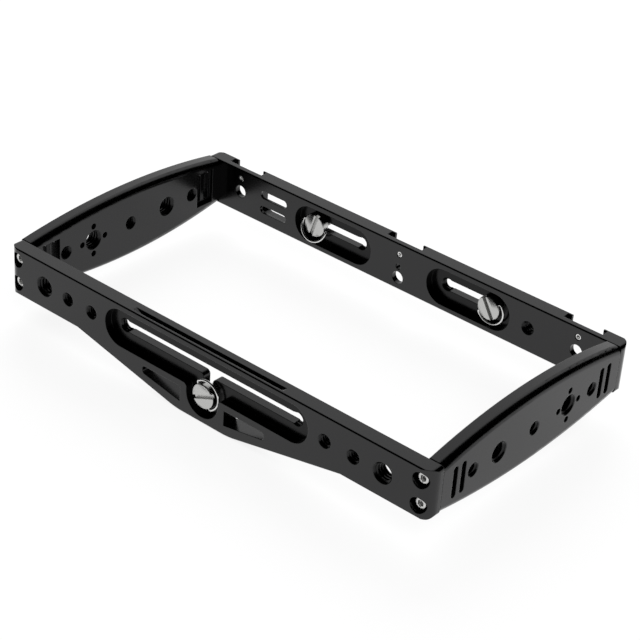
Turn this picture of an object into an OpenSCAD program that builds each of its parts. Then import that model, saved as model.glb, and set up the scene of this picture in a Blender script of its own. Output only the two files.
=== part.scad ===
/* [Opening] */
// Clear width between the two side rails
opening_w = 230; // [224:1:300]
// Clear depth between the two long rails
opening_d = 124.4; // [122:0.2:180]

/* [Rails] */
// Thickness of all four rails
rail_t = 8; // [7.6:0.1:10]
// Height of the long rails, and of the side rails at their ends
rail_h = 24; // [23:0.1:30]
// Radius of the upright outer corners
corner_r = 6; // [3:0.1:7]
// Radius of the top and bottom edge at each end of a long rail
end_edge_r = 2; // [1:0.1:3]
// Chamfer along the edges of the long rails
edge_chamfer = 0.5; // [0.2:0.1:0.8]

/* [Tapped holes] */
// Major diameter of the small tapped holes and of the thumb screws
small_thread_d = 6.35; // [6:0.01:6.6]
// Major diameter of the large tapped holes
large_thread_d = 9.525; // [9:0.005:10]
// Chamfer at the mouth of a tapped hole
mouth_chamfer = 0.3; // [0.1:0.1:0.5]

/* [Front rail] */
// Distance of the large holes from the middle
front_large_x = 99; // [95:0.1:103]
// Distance of the outer small holes from the middle
front_outer_small_x = 83.7; // [80:0.1:87]
// Distance of the inner small holes from the middle
front_inner_small_x = 68.5; // [66:0.1:73]
// Distance of the screw slot's end holes from the middle
front_slot_x = 50.3; // [40:0.1:53]
// Drop from the screw slot to the place where the thumb screw parks
park_drop = 12.9; // [11:0.1:13.2]
// Height of the front screw above the lower end of its run
front_screw_lift = 1.1; // [0:0.1:3]
// Radius of the slot's corners beside the parked screw
slot_corner_r = 2; // [1:0.1:3]
// Depth of the recess in the outer face
front_recess_depth = 3.8; // [3.6:0.1:4.2]
// How far the middle of the rail bulges below its ends
bulge_drop = 13.2; // [12:0.1:16]
// Width of the flat under the bulge
bulge_flat_w = 22.6; // [18:0.2:26]
// Slope of the bulge's flanks in degrees
bulge_angle = 12; // [10:0.5:14]
// Radius of the bend between the flat and a flank
bulge_bend_r = 40; // [20:1:60]
// Distance of a window's upright side from the middle
window_near_x = 13; // [12.6:0.1:14]
// Width of a window
window_w = 23; // [16:0.5:24]
// Height of a window at its upright side
window_near_h = 7.6; // [6:0.1:8]
// Height of a window at its far end
window_far_h = 4; // [3.4:0.1:4.2]
// Drop from the slot to the top of the windows
window_drop = 12.6; // [11.6:0.1:12.8]
// Corner radius at the far end of a window
window_end_r = 1.6; // [1:0.1:1.6]
// Length of the groove in the top face
groove_l = 88; // [60:1:100]
// Width of the groove in the top face
groove_w = 2.4; // [1.6:0.1:2.8]
// Depth of the groove in the top face
groove_depth = 1.5; // [0.8:0.1:1.8]
// Distance of the groove from the outer face
groove_inset = 2.7; // [2.2:0.1:4]
// Radius in which the groove's floor rises at its ends
groove_end_r = 20; // [6:0.5:30]
// Radius where the recess's branch leaves its long run
branch_fillet_r = 2; // [1:0.1:3]

/* [Rear rail] */
// Distance of the screw slots' inner holes from the middle
rear_slot_inner_x = 26.1; // [24:0.1:28]
// Distance of the screw slots' outer ends from the middle
rear_slot_outer_x = 55.3; // [53.8:0.1:58]
// Depth of the recesses in the inner face
rear_recess_depth = 4.1; // [3.8:0.1:4.4]
// Distance of the outer accessory channels from the middle
channel_x = 100.8; // [100:0.1:104]
// Width of an accessory channel between its lips
channel_mouth_w = 16.7; // [14:0.1:18]
// Width of an accessory channel behind its lips
channel_base_w = 20.8; // [19:0.1:22]
// Depth of an accessory channel
channel_depth = 5; // [4:0.1:5.8]
// Thickness of an accessory channel's lips
channel_lip_t = 1.3; // [1:0.1:2]
// Diameter of the screw holes in the channels
channel_hole_d = 6.4; // [5:0.1:6.8]
// Thread diameter of the stop screws in the channels
stop_screw_d = 3; // [2:0.1:3.2]
// How far the stop screws are sunk below the rail's inner face
stop_screw_sink = 0.3; // [0.1:0.1:1]
// Width across the flats of a stop screw's hexagon socket
stop_socket_w = 1.5; // [1:0.1:1.8]
// Depth of a stop screw's hexagon socket
stop_socket_depth = 1.2; // [0.8:0.1:1.5]
// Height of the stop screws of the outer channels
stop_screw_z = 7.2; // [6.4:0.1:8.5]
// Height of the middle channel's stop screw
middle_stop_screw_z = 6.4; // [5.6:0.1:8]
// Drop of the middle channel's screw hole
middle_hole_drop = 5.9; // [5.6:0.1:7]
// Distance of the two cable slots from the middle
cable_slot_x = 79; // [77:0.1:79.4]
// Length of a cable slot
cable_slot_l = 17; // [10:0.5:17.4]
// Width of a cable slot
cable_slot_w = 4; // [3:0.1:4.4]
// Distance between the two cable slots
cable_slot_pitch = 8; // [7:0.1:9]
// Margin of the outer pocket round the cable slots
cable_margin = 2.2; // [1:0.1:2.4]
// Thickness left between the outer pocket and the inner face
cable_web_t = 1.5; // [1.2:0.1:4]
// Distance of the rear rail's small tapped hole from the middle
rear_hole_x = 74.6; // [70:0.1:80]

/* [Side rails] */
// Rise of the higher arch beyond the long rails
arch_rise = 6.5; // [4:0.1:10]
// Rise of the lower arch beyond the long rails
arch_sag = 5.2; // [3:0.1:8]
// Radius of the arches' rounded long edges
arch_edge_r = 3.3; // [3.1:0.1:3.7]
// Distance of the outer small holes from the middle
side_small_y = 42; // [39:0.1:43]
// Distance of the large holes from the middle
side_large_y = 24.5; // [20:0.1:28]
// Radius of the circle of locating holes round one large hole
locating_r = 7.3; // [6.8:0.1:8]
// Diameter of a locating hole
locating_d = 3; // [2:0.1:3.2]
// Number of locating holes
locating_count = 4; // [2:1:4]
// Distance from a side rail's end to the first strap slot
strap_inset = 8.1; // [7.6:0.1:8.6]
// Distance between the two strap slots
strap_pitch = 5.4; // [5:0.1:5.8]
// Width of a strap slot
strap_slot_w = 3; // [2.4:0.1:3.2]
// Height of a strap slot
strap_slot_h = 15.5; // [10:0.5:17]
// Depth of the strap pocket in the inner face
pocket_depth = 2; // [1:0.1:3]
// Margin of the strap pocket round its slots
pocket_margin = 1.2; // [0.8:0.1:1.4]

/* [Thumb screws] */
// Diameter of the head
head_d = 12; // [11:0.1:12.4]
// Thickness of the head
head_t = 3.6; // [3.4:0.1:4]
// Chamfer round the head's face
head_chamfer = 0.4; // [0.2:0.1:0.6]
// Width of the coin slot
coin_slot_w = 1.8; // [1.2:0.1:2.2]
// Depth of the coin slot
coin_slot_depth = 1.4; // [0.8:0.1:1.8]
// Turn of the front screw's coin slot from its bail
front_coin_slot_turn = -11; // [-15:1:15]
// Turn of the rear screws' coin slots from their bails
rear_coin_slot_turn = -3; // [-15:1:15]
// Thread length below the rail
thread_l = 6; // [4:0.1:8]
// Chamfer at the thread's tip
tip_chamfer = 0.6; // [0.3:0.1:0.9]
// Width left between the head and the wall of its recess
recess_gap = 3.3; // [3.1:0.1:3.6]
// Clearance between the shank and the slot, at each side
slide_gap = 0.35; // [0.3:0.01:0.5]
// Clearance between the rail and the start of the thread
thread_gap = 0.4; // [0.3:0.1:0.8]
// Width of the screw slots
slot_w = 5.6; // [5.3:0.05:5.8]

/* [Bails] */
// Diameter of the bail's wire
wire_d = 1.1; // [0.9:0.05:1.2]
// Gap between the head's rim and the bail's legs
bail_gap = 0.5; // [0.3:0.01:0.6]
// Length of the bail's straight legs
bail_leg_l = 1.4; // [0.8:0.1:1.6]
// Depth of the bail's pins in the head
bail_pin_l = 1.6; // [1.2:0.1:2]
// Running clearance round the bail's pins
bail_pin_gap = 0.05; // [0.02:0.01:0.1]
// Depth of the bail's hinge below the head's face
hinge_drop = 1.2; // [1.1:0.05:1.6]
// Angle at which the front and the rear right bail lie back
bail_tilt = 2; // [-20:1:8]
// Angle at which the rear left bail lies back; below zero it stands off
rear_left_bail_tilt = -18; // [-30:1:8]
// Direction of the front bail in its recess
front_bail_angle = 34; // [0:1:90]
// Direction of the rear left bail in its recess
rear_left_bail_angle = -104; // [-150:1:-30]
// Direction of the rear right bail in its recess
rear_right_bail_angle = -56; // [-150:1:-30]
// Where the rear left screw stands, from its slot's outer end
rear_left_shift = 2.3; // [0:0.1:12]
// Where the rear right screw stands, from its slot's outer end
rear_right_shift = 3.3; // [0:0.1:12]

/* [Corner screws] */
// Thread diameter
corner_thread_d = 3; // [2.5:0.1:3.2]
// Length below the head
corner_screw_l = 6; // [5:0.1:7]
// Diameter of the head
cap_d = 5.5; // [5:0.1:5.8]
// Height of the head
cap_h = 2.8; // [2.4:0.1:3.2]
// Rounding of the head's rim
cap_edge_r = 0.4; // [0.2:0.1:0.6]
// Width across the flats of the hexagon socket
socket_w = 2.5; // [2:0.1:2.7]
// Depth of the hexagon socket
socket_depth = 1.3; // [1:0.1:1.8]
// How far the head is sunk below the rail's face
cap_sink = 2.1; // [1:0.1:2.3]
// Gap round the head in its counterbore
cap_gap = 1; // [0.4:0.1:1.1]
// Gap round the shank in the long rail
shank_gap = 0.2; // [0.1:0.05:0.3]
// Gap round the shank in the side rail's tapped hole
tap_gap = 0.02; // [0.01:0.01:0.05]
// Distance from a side rail's inner face to the screws
corner_screw_inset = 2.4; // [2.2:0.1:4]
// Distance of each screw above or below the hole line
corner_screw_z = 6.1; // [5:0.1:7]

/* [Hidden] */
$fn = 64;

// Overrun of every cut past the face it leaves
cut = 1;
// Steps of the large arcs of the side rails
arch_steps = 720;

// The frame's origin is the middle of the opening, at half the rails' height
inner_x = opening_w / 2;
inner_y = opening_d / 2;
outer_x = inner_x + rail_t;
outer_y = inner_y + rail_t;
half_h = rail_h / 2;

// The recesses and slots follow the thumb screws that slide in them
recess_r = head_d / 2 + recess_gap;
shank_d = slot_w - 2 * slide_gap;
shank_l = rail_t - min(front_recess_depth, rear_recess_depth) + thread_gap;
hinge_half_w = head_d / 2 + bail_gap + wire_d / 2;
bulge_bottom = -half_h - bulge_drop;

// The corner screws run from the long rails' outer faces into the side rails
corner_screw_x = inner_x + corner_screw_inset;
counterbore_d = cap_d + 2 * cap_gap;
counterbore_depth = cap_sink + cap_h;
tapped_depth = corner_screw_l - (rail_t - counterbore_depth) + 2 * tap_gap;

// The strap pocket covers both slots of a pair
pocket_near = strap_inset - strap_slot_w / 2 - pocket_margin;
pocket_w = strap_pitch + strap_slot_w + 2 * pocket_margin;

// Radius of an arc that rises by a height over half a side rail's length
function arch_radius(rise) = (inner_y * inner_y + rise * rise) / (2 * rise);

// A cutter along +Y for a tapped hole of a given depth, with both mouths chamfered
module tapped_hole_y(d, depth) {
    mouth_r = d / 2 + mouth_chamfer + cut;
    rotate([-90, 0, 0]) {
        translate([0, 0, -cut])
            cylinder(d = d, h = depth + 2 * cut);
        translate([0, 0, -cut])
            cylinder(r1 = mouth_r, r2 = d / 2, h = mouth_chamfer + cut);
        translate([0, 0, depth - mouth_chamfer])
            cylinder(r1 = d / 2, r2 = mouth_r, h = mouth_chamfer + cut);
    }
}

// The same cutter along +X
module tapped_hole_x(d, depth) {
    rotate([0, 0, -90])
        tapped_hole_y(d, depth);
}

// A plain round cutter along +Y
module bore_y(d, depth) {
    rotate([-90, 0, 0])
        cylinder(d = d, h = depth);
}

// A cutter along +Y for a slot with round ends that runs along X
module slot_y(x_from, x_to, r, depth) {
    for (x = [x_from, x_to])
        translate([x, 0, 0])
            bore_y(2 * r, depth);
    translate([x_from, 0, -r])
        cube([x_to - x_from, depth, 2 * r]);
}

// A bar along X with all four long edges chamfered; its bottom lies at z = 0
module chamfered_bar(length, height) {
    c = edge_chamfer;
    t = rail_t / 2;
    translate([-length / 2, 0, 0])
        rotate([90, 0, 90])
            linear_extrude(length)
                polygon([[-t + c, 0], [t - c, 0], [t, c], [t, height - c],
                         [t - c, height], [-t + c, height], [-t, height - c], [-t, c]]);
}

// Plan of a long rail: the outer corners, on the -Y side, are round
module long_rail_plan(bottom_z) {
    span_x = outer_x - corner_r;
    translate([0, -rail_t / 2, bottom_z - cut])
        linear_extrude(half_h - bottom_z + 2 * cut) {
            for (side = [-1, 1])
                translate([side * span_x, corner_r])
                    circle(r = corner_r);
            translate([-span_x, 0])
                square([2 * span_x, rail_t]);
            translate([-outer_x, corner_r])
                square([2 * outer_x, rail_t - corner_r]);
        }
}

// Side view of a long rail: the upper and lower edges at its ends are round
module long_rail_elevation(bottom_z) {
    edge_x = outer_x - end_edge_r;
    edge_z = half_h - end_edge_r;
    translate([0, rail_t / 2 + cut, 0])
        rotate([90, 0, 0])
            linear_extrude(rail_t + 2 * cut) {
                for (side = [-1, 1], level = [-1, 1])
                    translate([side * edge_x, level * edge_z])
                        circle(r = end_edge_r);
                translate([-edge_x, bottom_z - cut])
                    square([2 * edge_x, half_h - bottom_z + cut]);
                translate([-outer_x, -edge_z])
                    square([2 * outer_x, 2 * edge_z]);
            }
}

// The bulge under the front rail: a flat, a bend and a straight flank on each side
module bulge() {
    bend_x = bulge_flat_w / 2;
    bend_z = bulge_bottom + bulge_bend_r;
    intersection() {
        intersection_for (side = [-1, 1], angle = [0 : bulge_angle / 3 : bulge_angle])
            translate([side * bend_x, 0, bend_z])
                rotate([0, -side * angle, 0])
                    translate([0, 0, -bulge_bend_r])
                        chamfered_bar(2 * outer_x, outer_x);
        translate([-outer_x, -rail_t / 2 - cut, bulge_bottom - cut])
            cube([2 * outer_x, rail_t + 2 * cut, -bulge_bottom + cut]);
    }
}

// Counterbored holes for the corner screws, from a long rail's outer face inwards
module corner_holes() {
    for (side = [-1, 1], level = [-1, 1])
        translate([side * corner_screw_x, -cut, level * corner_screw_z]) {
            bore_y(counterbore_d, counterbore_depth + cut);
            bore_y(corner_thread_d + 2 * shank_gap, rail_t + 2 * cut);
        }
}

// Rounds the corners where a branch down leaves a run along X, both of the half width given
module branch_corners(half_w, r, depth) {
    for (side = [-1, 1])
        difference() {
            translate([side * (half_w + r / 2), depth / 2, -half_w - r / 2 + cut / 2])
                cube([r, depth, r + cut], center = true);
            translate([side * (half_w + r), -cut, -half_w - r])
                bore_y(2 * r, depth + 2 * cut);
        }
}

// The recess in the front rail's outer face, with its branch down to the parked screw
module front_recess() {
    depth = front_recess_depth + cut;
    translate([0, -cut, 0]) {
        slot_y(-front_slot_x, front_slot_x, recess_r, depth);
        translate([-recess_r, 0, -park_drop])
            cube([2 * recess_r, depth, park_drop]);
        translate([0, 0, -park_drop])
            bore_y(2 * recess_r, depth);
        branch_corners(recess_r, branch_fillet_r, depth);
    }
}

// The front rail's through slot: the run along X, the branch down, and a tapped hole at each end
module front_slot() {
    web = rail_t - front_recess_depth;
    translate([0, -cut, 0]) {
        slot_y(-front_slot_x, front_slot_x, slot_w / 2, rail_t + 2 * cut);
        translate([-slot_w / 2, 0, -park_drop])
            cube([slot_w, rail_t + 2 * cut, park_drop]);
        translate([0, 0, -park_drop])
            bore_y(slot_w, rail_t + 2 * cut);
        branch_corners(slot_w / 2, slot_corner_r, rail_t + 2 * cut);
    }
    for (side = [-1, 1])
        translate([side * front_slot_x, front_recess_depth, 0])
            tapped_hole_y(small_thread_d, web);
}

// One of the two windows beside the parked screw, on the side given
module window(side) {
    r = window_end_r;
    near_x = window_near_x;
    far_x = window_near_x + window_w;
    top_z = -window_drop;
    low_z = top_z - window_far_h;
    translate([0, rail_t + cut, 0])
        rotate([90, 0, 0])
            linear_extrude(rail_t + 2 * cut) {
                polygon([[side * near_x, top_z], [side * (far_x - r), top_z],
                         [side * far_x, top_z - r], [side * far_x, low_z + r],
                         [side * (far_x - r), low_z], [side * near_x, top_z - window_near_h]]);
                for (z = [top_z - r, low_z + r])
                    translate([side * (far_x - r), z])
                        circle(r = r);
            }
}

// The narrow groove along the front rail's top face, whose floor rises to the face at both ends
module top_groove() {
    end_x = groove_l / 2 - sqrt(groove_depth * (2 * groove_end_r - groove_depth));
    translate([0, groove_inset - groove_w / 2, half_h - groove_depth + groove_end_r])
        slot_y(-end_x, end_x, groove_end_r, groove_w);
}

module front_rail() {
    color("#1c1c1e")
        translate([0, -inner_y - rail_t / 2, 0])
            difference() {
                intersection() {
                    union() {
                        translate([0, 0, -half_h])
                            chamfered_bar(2 * outer_x, rail_h);
                        bulge();
                    }
                    long_rail_plan(bulge_bottom);
                    long_rail_elevation(bulge_bottom);
                }
                translate([0, -rail_t / 2, 0]) {
                    corner_holes();
                    front_recess();
                    front_slot();
                    top_groove();
                    for (side = [-1, 1]) {
                        window(side);
                        translate([side * front_large_x, 0, 0])
                            tapped_hole_y(large_thread_d, rail_t);
                        for (x = [front_outer_small_x, front_inner_small_x])
                            translate([side * x, 0, 0])
                                tapped_hole_y(small_thread_d, rail_t);
                    }
                }
            }
}

// A channel with two lips through the full height, open on the outer face
module accessory_channel() {
    height = rail_h + 2 * cut;
    translate([-channel_mouth_w / 2, -cut, -half_h - cut])
        cube([channel_mouth_w, channel_depth + cut, height]);
    translate([-channel_base_w / 2, channel_lip_t, -half_h - cut])
        cube([channel_base_w, channel_depth - channel_lip_t, height]);
}

// A recess in the rear rail's inner face with its slot and the tapped hole at the slot's inner end
module rear_slot(side) {
    near_x = min(side * rear_slot_inner_x, side * rear_slot_outer_x);
    far_x = max(side * rear_slot_inner_x, side * rear_slot_outer_x);
    web = rail_t - rear_recess_depth;
    translate([0, web, 0])
        slot_y(near_x, far_x, recess_r, rear_recess_depth + cut);
    translate([0, -cut, 0])
        slot_y(near_x, far_x, slot_w / 2, rail_t + 2 * cut);
    translate([side * rear_slot_inner_x, 0, 0])
        tapped_hole_y(small_thread_d, web);
}

// The holes in the webs of the three channels
module channel_holes() {
    depth = rail_t + 2 * cut;
    stop_hole_d = stop_screw_d + 2 * tap_gap;
    for (side = [-1, 1]) {
        translate([side * channel_x, -cut, stop_screw_z])
            bore_y(stop_hole_d, depth);
        translate([side * channel_x, -cut, 0])
            bore_y(channel_hole_d, depth);
    }
    for (z = [0, middle_stop_screw_z])
        translate([0, -cut, z])
            bore_y(stop_hole_d, depth);
    translate([0, -cut, -middle_hole_drop])
        bore_y(channel_hole_d, depth);
}

// The two cable slots, with the pocket behind them that is open on the outer face
module cable_slots() {
    slot_r = cable_slot_w / 2;
    pocket_r = slot_r + cable_margin;
    end_x = cable_slot_l / 2 - slot_r;
    for (level = [-1, 1])
        translate([-cable_slot_x, -cut, level * cable_slot_pitch / 2]) {
            slot_y(-end_x, end_x, slot_r, rail_t + 2 * cut);
            slot_y(-end_x, end_x, pocket_r, rail_t - cable_web_t + cut);
        }
    translate([-cable_slot_x - end_x - pocket_r, -cut, -cable_slot_pitch / 2])
        cube([2 * (end_x + pocket_r), rail_t - cable_web_t + cut, cable_slot_pitch]);
}

module rear_rail() {
    color("#1c1c1e")
        translate([0, inner_y + rail_t / 2, 0])
            mirror([0, 1, 0])
                difference() {
                    intersection() {
                        translate([0, 0, -half_h])
                            chamfered_bar(2 * outer_x, rail_h);
                        long_rail_plan(-half_h);
                        long_rail_elevation(-half_h);
                    }
                    translate([0, -rail_t / 2, 0]) {
                        corner_holes();
                        for (x = [-channel_x, 0, channel_x])
                            translate([x, 0, 0])
                                accessory_channel();
                        channel_holes();
                        for (side = [-1, 1])
                            rear_slot(side);
                        cable_slots();
                        translate([rear_hole_x, 0, 0])
                            tapped_hole_y(small_thread_d, rail_t);
                    }
                }
}

// A disc with its axis along X that bounds an arch: its crest lies above y = 0, its outer rim is round
// and its inner rim is chamfered
module arch_disc(rise) {
    r = arch_radius(rise);
    translate([0, 0, half_h + rise - r])
        rotate([0, 90, 0])
            rotate_extrude($fn = arch_steps) {
                polygon([[0, 0], [r - edge_chamfer, 0], [r, edge_chamfer],
                         [r, rail_t - arch_edge_r], [r - arch_edge_r, rail_t], [0, rail_t]]);
                translate([r - arch_edge_r, rail_t - arch_edge_r])
                    circle(r = arch_edge_r);
            }
}

// A side rail's blank from x = 0 to its thickness: the higher arch is up and the edges at x > 0 are round
module side_rail_blank() {
    intersection() {
        translate([0, -inner_y, -rail_h - arch_sag])
            cube([rail_t, opening_d, 2 * rail_h + arch_sag + arch_rise]);
        arch_disc(arch_rise);
        mirror([0, 0, 1])
            arch_disc(arch_sag);
    }
}

// A pair of strap slots near one end, with the pocket that joins them on the inner face
module strap_slots(end) {
    r = strap_slot_w / 2;
    round_z = strap_slot_h / 2 - r;
    for (step = [0, 1])
        translate([-cut, end * (inner_y - strap_inset - step * strap_pitch), 0]) {
            for (z = [-round_z, round_z])
                translate([0, 0, z])
                    rotate([0, 90, 0])
                        cylinder(r = r, h = rail_t + 2 * cut);
            translate([0, -r, -round_z])
                cube([rail_t + 2 * cut, strap_slot_w, 2 * round_z]);
        }
    translate([(pocket_depth - cut) / 2, end * (inner_y - pocket_near - pocket_w / 2), 0])
        cube([pocket_depth + cut, pocket_w, strap_slot_h + 2 * pocket_margin], center = true);
}

// A side rail in its right-hand place, cut from the blank given with its inner face at x = 0
module side_rail() {
    color("#1c1c1e")
        translate([inner_x, 0, 0])
            difference() {
                children();
                for (y = [-side_small_y, 0, side_small_y])
                    translate([0, y, 0])
                        tapped_hole_x(small_thread_d, rail_t);
                for (y = [-side_large_y, side_large_y])
                    translate([0, y, 0])
                        tapped_hole_x(large_thread_d, rail_t);
                for (step = [1 : locating_count])
                    translate([-cut, side_large_y, 0])
                        rotate([step * 360 / locating_count, 0, 0])
                            translate([0, locating_r, 0])
                                rotate([0, 90, 0])
                                    cylinder(d = locating_d, h = rail_t + 2 * cut);
                for (end = [-1, 1]) {
                    strap_slots(end);
                    for (level = [-1, 1])
                        translate([corner_screw_inset, end * (inner_y + cut), level * corner_screw_z])
                            rotate([end * 90, 0, 0])
                                cylinder(d = corner_thread_d + 2 * tap_gap, h = tapped_depth + cut);
                }
            }
}

module right_rail() {
    side_rail()
        side_rail_blank();
}

// The left rail's holes are turned end for end, and its blank is turned over, with the round edges inside
module left_rail() {
    rotate([0, 0, 180])
        side_rail()
            translate([rail_t, 0, 0])
                rotate([0, 180, 0])
                    side_rail_blank();
}

// A cap screw whose face is up, with the rail's outer face at z = 0
module cap_screw() {
    edge = cap_edge_r;
    color("#b9bcc0")
        difference() {
            union() {
                translate([0, 0, -counterbore_depth])
                    cylinder(d = cap_d, h = cap_h - edge);
                translate([0, 0, -cap_sink - edge])
                    rotate_extrude() {
                        square([cap_d / 2 - edge, edge]);
                        intersection() {
                            translate([cap_d / 2 - edge, 0])
                                circle(r = edge);
                            square([cap_d / 2, edge]);
                        }
                    }
                translate([0, 0, -counterbore_depth - corner_screw_l])
                    cylinder(d = corner_thread_d, h = corner_screw_l);
            }
            translate([0, 0, -cap_sink - socket_depth])
                cylinder(d = socket_w / cos(30), h = socket_depth + cut, $fn = 6);
        }
}

// A corner screw: side is -1 left or 1 right, end is -1 front or 1 rear, level is -1 lower or 1 upper
module corner_screw(side, end, level) {
    translate([side * corner_screw_x, end * outer_y, level * corner_screw_z])
        rotate([-end * 90, 0, 0])
            cap_screw();
}

// A stop screw in the web of a channel, with its hexagon socket towards the opening
module stop_screw(x, z) {
    color("#b9bcc0")
        translate([x, inner_y + stop_screw_sink, z])
            rotate([-90, 0, 0])
                difference() {
                    cylinder(d = stop_screw_d, h = rail_t - channel_depth - stop_screw_sink);
                    translate([0, 0, -cut])
                        cylinder(d = stop_socket_w / cos(30), h = stop_socket_depth + cut, $fn = 6);
                }
}

// A thumb screw whose face is up at z = 0, with its hinge along Y and its coin slot turned from X
module thumb_screw(slot_turn) {
    r = head_d / 2;
    thread_r = small_thread_d / 2;
    tip_z = -head_t - shank_l - thread_l;
    color("#cfd0d2")
        difference() {
            union() {
                translate([0, 0, -head_t])
                    cylinder(r = r, h = head_t - head_chamfer);
                translate([0, 0, -head_chamfer])
                    cylinder(r1 = r, r2 = r - head_chamfer, h = head_chamfer);
                translate([0, 0, tip_z + thread_l])
                    cylinder(d = shank_d, h = shank_l);
                translate([0, 0, tip_z + tip_chamfer])
                    cylinder(r = thread_r, h = thread_l - tip_chamfer);
                translate([0, 0, tip_z])
                    cylinder(r1 = thread_r - tip_chamfer, r2 = thread_r, h = tip_chamfer);
            }
            rotate([0, 0, slot_turn])
                translate([-r - cut, -coin_slot_w / 2, -coin_slot_depth])
                    cube([head_d + 2 * cut, coin_slot_w, coin_slot_depth + cut]);
            for (side = [-1, 1])
                translate([0, side * (r + cut), -hinge_drop])
                    rotate([side * 90, 0, 0])
                        cylinder(d = wire_d + 2 * bail_pin_gap, h = cut + bail_pin_l + 2 * bail_pin_gap);
        }
}

// A wire bail lying towards +X, with its hinge axis along Y through the origin
module bail() {
    pin_l = hinge_half_w - head_d / 2 + bail_pin_l;
    color("#d6d7d9") {
        translate([bail_leg_l, 0, 0])
            rotate([0, 0, -90])
                rotate_extrude(angle = 180)
                    translate([hinge_half_w, 0])
                        circle(d = wire_d);
        for (side = [-1, 1])
            translate([0, side * hinge_half_w, 0]) {
                sphere(d = wire_d);
                rotate([0, 90, 0])
                    cylinder(d = wire_d, h = bail_leg_l);
                rotate([side * 90, 0, 0])
                    cylinder(d = wire_d, h = pin_l);
            }
    }
}

// Puts a thumb screw's face at a place in the XZ plane, turned by an angle in that plane
module at_screw(x, floor_y, z, angle) {
    translate([x, floor_y - head_t, z])
        rotate([90, 0, 0])
            rotate([0, 0, angle])
                children();
}

// Hangs a bail on its screw, leaning back towards the recess by an angle
module hung_bail(tilt) {
    translate([0, 0, -hinge_drop])
        rotate([0, tilt, 0])
            bail();
}

module at_front_screw() {
    at_screw(0, -outer_y + front_recess_depth, front_screw_lift - park_drop, front_bail_angle)
        children();
}

module at_rear_left_screw() {
    at_screw(-rear_slot_outer_x + rear_left_shift, inner_y + rear_recess_depth, 0, rear_left_bail_angle)
        children();
}

module at_rear_right_screw() {
    at_screw(rear_slot_outer_x - rear_right_shift, inner_y + rear_recess_depth, 0, rear_right_bail_angle)
        children();
}

module front_thumb_screw() {
    at_front_screw()
        thumb_screw(front_coin_slot_turn);
}

module front_bail() {
    at_front_screw()
        hung_bail(bail_tilt);
}

module rear_left_thumb_screw() {
    at_rear_left_screw()
        thumb_screw(rear_coin_slot_turn);
}

module rear_left_bail() {
    at_rear_left_screw()
        hung_bail(rear_left_bail_tilt);
}

module rear_right_thumb_screw() {
    at_rear_right_screw()
        thumb_screw(rear_coin_slot_turn);
}

module rear_right_bail() {
    at_rear_right_screw()
        hung_bail(bail_tilt);
}

front_rail();
rear_rail();
left_rail();
right_rail();
corner_screw(-1, -1, 1);  // front_left_upper_screw
corner_screw(-1, -1, -1);  // front_left_lower_screw
corner_screw(1, -1, 1);  // front_right_upper_screw
corner_screw(1, -1, -1);  // front_right_lower_screw
corner_screw(-1, 1, 1);  // rear_left_upper_screw
corner_screw(-1, 1, -1);  // rear_left_lower_screw
corner_screw(1, 1, 1);  // rear_right_upper_screw
corner_screw(1, 1, -1);  // rear_right_lower_screw
stop_screw(-channel_x, stop_screw_z);  // left_stop_screw
stop_screw(0, middle_stop_screw_z);  // middle_stop_screw
stop_screw(channel_x, stop_screw_z);  // right_stop_screw
front_thumb_screw();
front_bail();
rear_left_thumb_screw();
rear_left_bail();
rear_right_thumb_screw();
rear_right_bail();
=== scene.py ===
"""Looks of a screwed accessory cage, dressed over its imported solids.

All lengths are in metres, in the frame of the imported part: X along the long rails, Y from the
front rail to the rear rail, Z up through the opening.
"""

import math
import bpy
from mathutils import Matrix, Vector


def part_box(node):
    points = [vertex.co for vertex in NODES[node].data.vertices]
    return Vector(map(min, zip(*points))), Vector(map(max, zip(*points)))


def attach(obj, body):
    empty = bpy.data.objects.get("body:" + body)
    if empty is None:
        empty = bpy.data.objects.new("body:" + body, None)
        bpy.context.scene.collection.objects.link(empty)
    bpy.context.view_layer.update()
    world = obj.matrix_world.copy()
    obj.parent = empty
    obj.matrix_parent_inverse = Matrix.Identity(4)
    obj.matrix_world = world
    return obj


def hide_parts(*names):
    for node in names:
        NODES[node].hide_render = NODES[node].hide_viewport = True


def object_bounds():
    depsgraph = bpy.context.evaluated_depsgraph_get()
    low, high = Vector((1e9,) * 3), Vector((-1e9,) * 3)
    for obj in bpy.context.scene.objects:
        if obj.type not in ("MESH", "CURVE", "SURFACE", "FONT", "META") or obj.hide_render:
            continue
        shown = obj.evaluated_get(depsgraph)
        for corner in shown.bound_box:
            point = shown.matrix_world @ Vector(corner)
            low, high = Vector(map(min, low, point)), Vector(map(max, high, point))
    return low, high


bl_info = {
    "name": "Accessory Cage Looks",
    "version": (1, 0, 0),
    "blender": (4, 5, 0),
    "location": "3D View > Sidebar > Cage",
    "description": "Threads, turned screws, wire bails and finishes for a screwed accessory cage",
    "category": "Object",
}

import bmesh
import bpy
import numpy as np
from bpy.props import FloatProperty, FloatVectorProperty, IntProperty, PointerProperty
from bpy.types import Operator, Panel, PropertyGroup
from mathutils import Matrix, Vector

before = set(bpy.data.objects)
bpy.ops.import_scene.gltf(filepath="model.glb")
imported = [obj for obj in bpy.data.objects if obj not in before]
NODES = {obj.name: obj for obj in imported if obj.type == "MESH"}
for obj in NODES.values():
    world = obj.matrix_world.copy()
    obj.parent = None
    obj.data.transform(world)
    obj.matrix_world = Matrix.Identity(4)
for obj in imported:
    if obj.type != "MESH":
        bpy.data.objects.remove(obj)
CAD_LOW, CAD_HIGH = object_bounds()
MM = 0.001
FULL_TURN = 2 * math.pi
RAILS = ("front_rail", "rear_rail", "left_rail", "right_rail")

# Outer and inner faces of the rails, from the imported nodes
OUTER_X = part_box("right_rail")[1].x
INNER_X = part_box("right_rail")[0].x
FRONT_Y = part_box("front_rail")[0].y
FRONT_INNER_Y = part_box("front_rail")[1].y
REAR_INNER_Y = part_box("rear_rail")[0].y
REAR_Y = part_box("rear_rail")[1].y


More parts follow.
